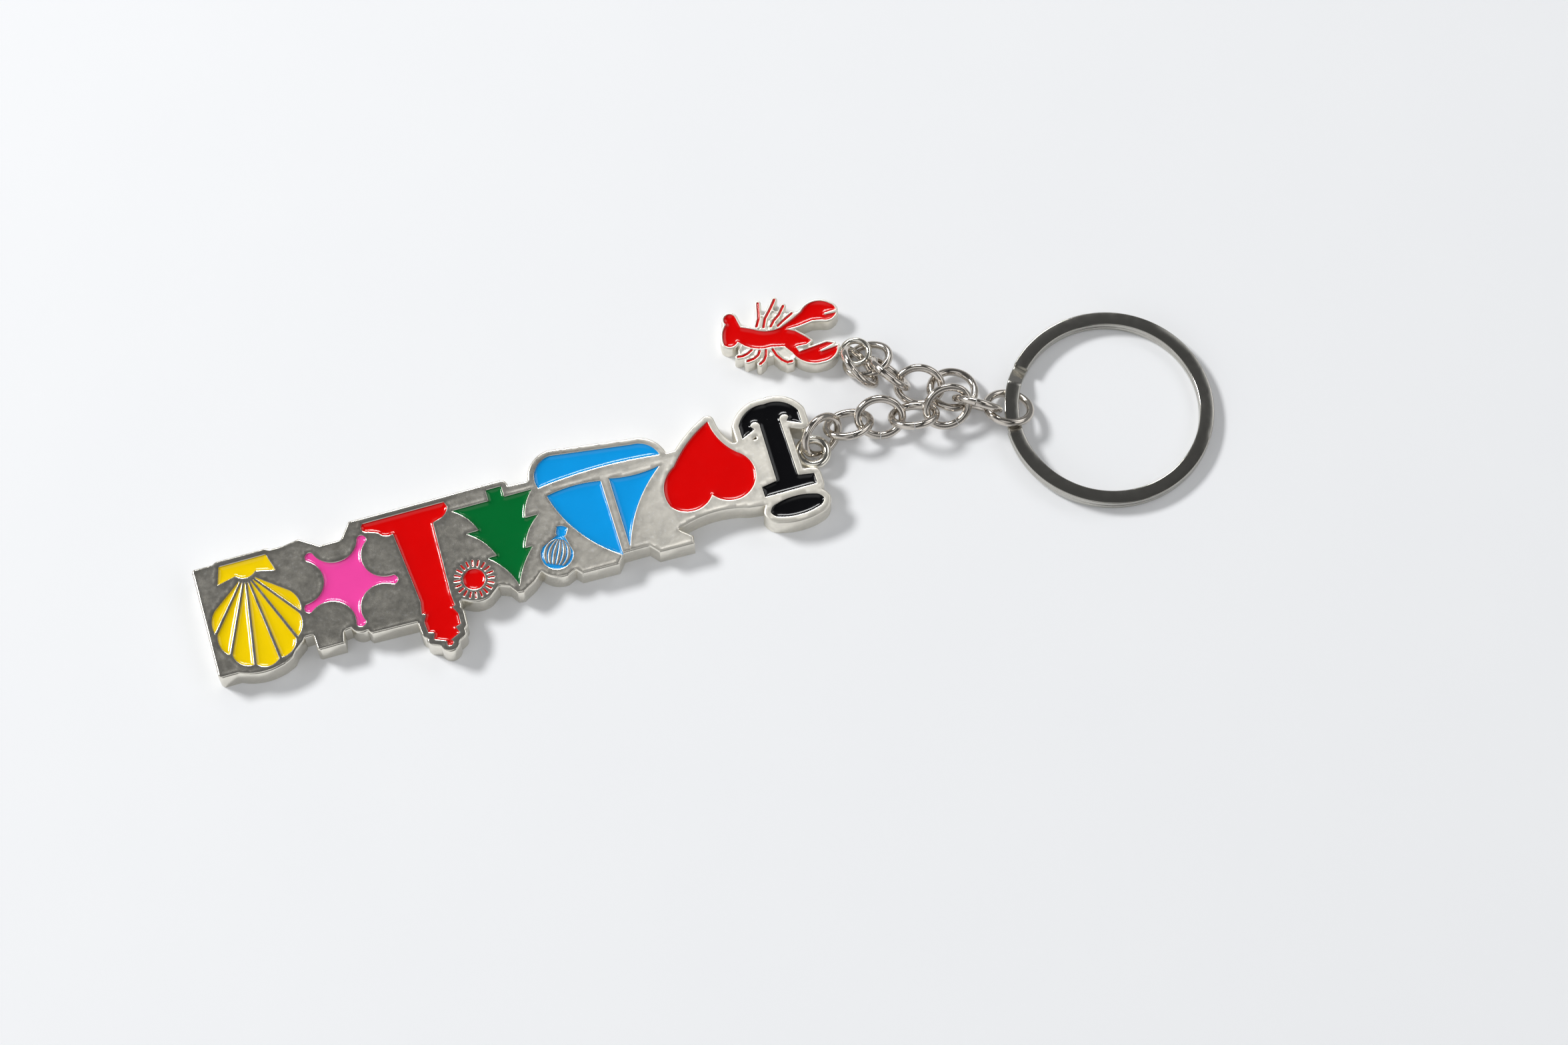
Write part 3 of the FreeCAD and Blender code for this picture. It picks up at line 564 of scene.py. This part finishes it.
# Lengths in mm: height of the face, depth of the enamel, widths of the lip, the bevel and
# the rounded edge, how far the field is sunk and swells, and how fine the mesh is.
LOOKS = {
    "charm_plate": {"top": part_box("charm_plate")[1].z / MM, "depth": 0.38, "lip": 0.45,
                    "bevel": 0.24, "sink": 0.05, "edge": 0.32, "swell": 0.004,
                    "spacing": 0.45, "rows": [-0.07, -0.16, 0.045, 0.11, 0.2, 0.32]},
    "lobster_charm": {"top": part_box("enamel_lobster")[1].z / MM + 0.1, "depth": 0.36,
                      "lip": 0.25, "bevel": 0.1, "sink": 0.25, "edge": 0.2, "swell": 0.01,
                      "spacing": 0.3, "rows": [-0.05, -0.12, 0.045, 0.1, 0.17]},
}
for casting, look in LOOKS.items():
    members = frame["record"]["behaviour"]["bodies"][casting]
    outlines = [build_enamel(node, casting, look) for node in members if node != casting]
    build_casting(casting, outlines, look)

dress(torus("charm_plate_eye", (45.4, -5.6, 2.2), 2.1, 0.7), CASTING_EYE, "charm_plate",
      "nickel_casting")
dress(torus("lobster_charm_eye", (34.35, -19.7, 2.1), 2.0, 0.5), CASTING_EYE,
      "lobster_charm", "nickel_casting")
dress(bar("lobster_charm_neck", (36.2, -20.4, 2.1), (37.6, -20.9, 2.1), 0.5, 0.62),
      CASTING_EYE, "lobster_charm", "nickel_casting")

# ------------------------------------------------------------------ wire and key ring
for node, slot in SLOT_OF.items():
    if slot == "nickel_wire":
        NODES[node].data.materials.clear()
        NODES[node].data.materials.append(WIRE)

# Lengths in mm and angles in degrees. The strip climbs to its second coil over "climb".
RING = {"outer": 16.0, "band": 2.2, "strip": 0.9, "slit": 0.05, "tilt": 1.25, "corner": 0.2,
        "start": -2.0, "climb": (319.0, 328.0), "end": 677.0}
RING_STEPS = 460
RING_CREASE = 50
CORNER_PARTS = 4


def strip_profile(width, height, corner):
    """Section of the strip: a rectangle with rounded corners, round its outline."""
    points = []
    centres = [(width - corner, height - corner), (corner, height - corner),
               (corner, corner), (width - corner, corner)]
    for index, (cx, cy) in enumerate(centres):
        for part in range(CORNER_PARTS + 1):
            turn = math.radians(90 * index + 90 / CORNER_PARTS * part)
            points.append((cx + corner * math.cos(turn), cy + corner * math.sin(turn)))
    return points


def build_key_ring():
    """Flat strip wound almost twice, with rounded edges and square-cut ends."""
    inner = RING["outer"] - RING["band"]
    section = strip_profile(RING["band"], RING["strip"], RING["corner"])
    climb_start, climb_end = RING["climb"]
    rise = RING["strip"] + RING["slit"]
    corners, faces = [], []
    for step in range(RING_STEPS + 1):
        azimuth = RING["start"] + (RING["end"] - RING["start"]) * step / RING_STEPS
        level = rise * min(max((azimuth - climb_start) / (climb_end - climb_start), 0), 1)
        angle = math.radians(azimuth)
        for across, up in section:
            reach = inner + across
            corners.append((reach * math.cos(angle), reach * math.sin(angle), level + up))
    count = len(section)
    for step in range(RING_STEPS):
        for index in range(count):
            after = (index + 1) % count
            base = step * count
            faces.append((base + index, base + after, base + count + after,
                          base + count + index))
    faces.append(tuple(reversed(range(count))))
    faces.append(tuple(range(RING_STEPS * count, (RING_STEPS + 1) * count)))
    lean = math.radians(RING["tilt"])
    turn = Matrix.Rotation(-lean, 3, "Y")
    lift = Vector((0, 0, RING["outer"] * math.sin(lean)))
    mesh = bpy.data.meshes.new("key_ring_strip")
    mesh.from_pydata([(turn @ Vector(corner) + lift) * MM for corner in corners], [], faces)
    dress(finished("key_ring_strip", mesh, RING_CREASE), STRIP, "key_ring", "ring_strip",
          "key_ring")


build_key_ring()

# ---------------------------------------------------------------------- floor and light
low, high = CAD_BOX
middle = Vector(((low[0] + high[0]) / 2, (low[1] + high[1]) / 2, 0))
FLOOR_HALF = 1.5         # m, wide enough to fill the picture
FLOOR_GAP = 0.00002      # m, between the object and the tabletop
AMBIENT = 0.05
# Direction, inner and outer radius in degrees, and strength of each soft glow.
GLOWS = [((-0.05, -0.37, 0.92), 2, 28, 0.09),
         ((0.1, 0.25, 0.96), 5, 24, 0.8),
         ((-0.64, -0.3, 0.7), 6, 18, 1.8),
         ((0.9, 0.5, 0.35), 15, 50, 0.7),
         ((0, 0, -1), 112, 140, 0.2)]
# Direction, distance and size in metres, and power in watts of each lamp.
KEY_LIGHT = ((0.74, -0.67, 0.9), 2.0, (0.62, 0.42), 29.5)
SHINE = ((-0.12, -0.75, 0.65), 1.3, (0.5, 0.22), 5.5)
FILL_LIGHT = ((-0.9, 0.5, 0.9), 1.3, (1.1, 0.7), 2.0)
CAMERA_AZIMUTH, CAMERA_ELEVATION = math.radians(163.5), math.radians(68)
CAMERA_DISTANCE, CAMERA_AIM = 0.5586, Vector((0.0526, 0.0033, 0))
LENS, SENSOR = 85, 36    # mm
CLIP_START = 0.01        # m


def settle(floor):
    """Lower the tabletop under whatever swings below it, so that nothing sinks into it."""
    group = bpy.data.node_groups.new("settled_tabletop", "GeometryNodeTree")
    for side in ("INPUT", "OUTPUT"):
        group.interface.new_socket("Geometry", in_out=side, socket_type="NodeSocketGeometry")
    add, link = group.nodes.new, group.links.new
    joined = add("GeometryNodeJoinGeometry")
    for thing in [piece for piece in bpy.data.objects
                  if piece.type == "MESH" and piece != floor]:
        info = add("GeometryNodeObjectInfo")
        info.transform_space = "RELATIVE"
        info.inputs["Object"].default_value = thing
        link(info.outputs["Geometry"], joined.inputs[0])
    box, corner, drop = (add(kind) for kind in (
        "GeometryNodeBoundBox", "ShaderNodeSeparateXYZ", "ShaderNodeMath"))
    drop.operation = "MINIMUM"
    drop.inputs[1].default_value = 0.0
    shift, moved = add("ShaderNodeCombineXYZ"), add("GeometryNodeSetPosition")
    link(joined.outputs[0], box.inputs[0])
    link(box.outputs["Min"], corner.inputs[0])
    link(corner.outputs["Z"], drop.inputs[0])
    link(drop.outputs[0], shift.inputs["Z"])
    link(shift.outputs[0], moved.inputs["Offset"])
    link(add("NodeGroupInput").outputs[0], moved.inputs["Geometry"])
    link(moved.outputs[0], add("NodeGroupOutput").inputs[0])
    floor.modifiers.new("settle", "NODES").node_group = group


def build_floor():
    """Pale tabletop under the object."""
    half = FLOOR_HALF
    mesh = bpy.data.meshes.new("floor")
    mesh.from_pydata([(-half, -half, 0), (half, -half, 0), (half, half, 0), (-half, half, 0)],
                     [], [(0, 1, 2, 3)])
    floor = bpy.data.objects.new("floor", mesh)
    floor.location = middle + Vector((0, 0, low[2] - FLOOR_GAP))
    bpy.context.scene.collection.objects.link(floor)
    nodes = Nodes("tabletop")
    nodes.set(Base_Color=nodes.mix(nodes.noise(40, 3, 0.5), (0.88, 0.89, 0.91),
                                   (0.90, 0.91, 0.925)), Roughness=0.6,
              Emission_Color=(0.97, 0.985, 1.0, 1), Emission_Strength=0.06)
    mesh.materials.append(nodes.material)
    settle(floor)


def area_light(name, direction, distance, size, power):
    """Soft box aimed at the middle of the object."""
    light = bpy.data.lights.new(name, "AREA")
    light.shape = "ELLIPSE"
    light.size, light.size_y = size
    light.energy = power
    lamp = bpy.data.objects.new(name, light)
    lamp.location = middle + Vector(direction).normalized() * distance
    lamp.rotation_euler = (middle - lamp.location).to_track_quat("-Z", "Y").to_euler()
    bpy.context.scene.collection.objects.link(lamp)
    return lamp


def build_world():
    """Dim studio with soft glows for the metal to mirror."""
    world = bpy.data.worlds.new("studio")
    world.use_nodes = True
    tree = world.node_tree
    where = tree.nodes.new("ShaderNodeTexCoord").outputs["Generated"]
    total = None
    for direction, inner, outer, strength in GLOWS:
        dot = tree.nodes.new("ShaderNodeVectorMath")
        dot.operation = "DOT_PRODUCT"
        tree.links.new(where, dot.inputs[0])
        dot.inputs[1].default_value = Vector(direction).normalized()
        glow = tree.nodes.new("ShaderNodeMapRange")
        glow.interpolation_type = "SMOOTHSTEP"
        tree.links.new(dot.outputs["Value"], glow.inputs["Value"])
        glow.inputs["From Min"].default_value = math.cos(math.radians(outer))
        glow.inputs["From Max"].default_value = math.cos(math.radians(inner))
        glow.inputs["To Max"].default_value = strength
        glow.inputs["To Min"].default_value = 0.0 if total else AMBIENT
        if total:
            add = tree.nodes.new("ShaderNodeMath")
            tree.links.new(total, add.inputs[0])
            tree.links.new(glow.outputs[0], add.inputs[1])
            total = add.outputs[0]
        else:
            total = glow.outputs[0]
    tree.links.new(total, tree.nodes["Background"].inputs["Strength"])
    tree.nodes["Background"].inputs["Color"].default_value = (0.98, 0.99, 1.0, 1)
    bpy.context.scene.world = world


def build_camera():
    """Long lens looking down from the side of the ornaments' tops."""
    level = math.cos(CAMERA_ELEVATION)
    forward = Vector((math.sin(CAMERA_AZIMUTH) * level * -1,
                      math.cos(CAMERA_AZIMUTH) * level, -math.sin(CAMERA_ELEVATION)))
    camera = bpy.data.objects.new("camera", bpy.data.cameras.new("camera"))
    camera.data.lens, camera.data.sensor_width = LENS, SENSOR
    camera.data.clip_start = CLIP_START
    camera.location = CAMERA_AIM - forward * CAMERA_DISTANCE
    camera.rotation_euler = forward.to_track_quat("-Z", "Y").to_euler()
    bpy.context.scene.collection.objects.link(camera)
    bpy.context.scene.camera = camera


build_floor()
area_light("key_light", *KEY_LIGHT)
area_light("shine", *SHINE).visible_diffuse = False  # seen in reflections only
area_light("fill_light", *FILL_LIGHT)
bpy.context.scene.view_settings.view_transform = "Standard"
build_world()
build_camera()
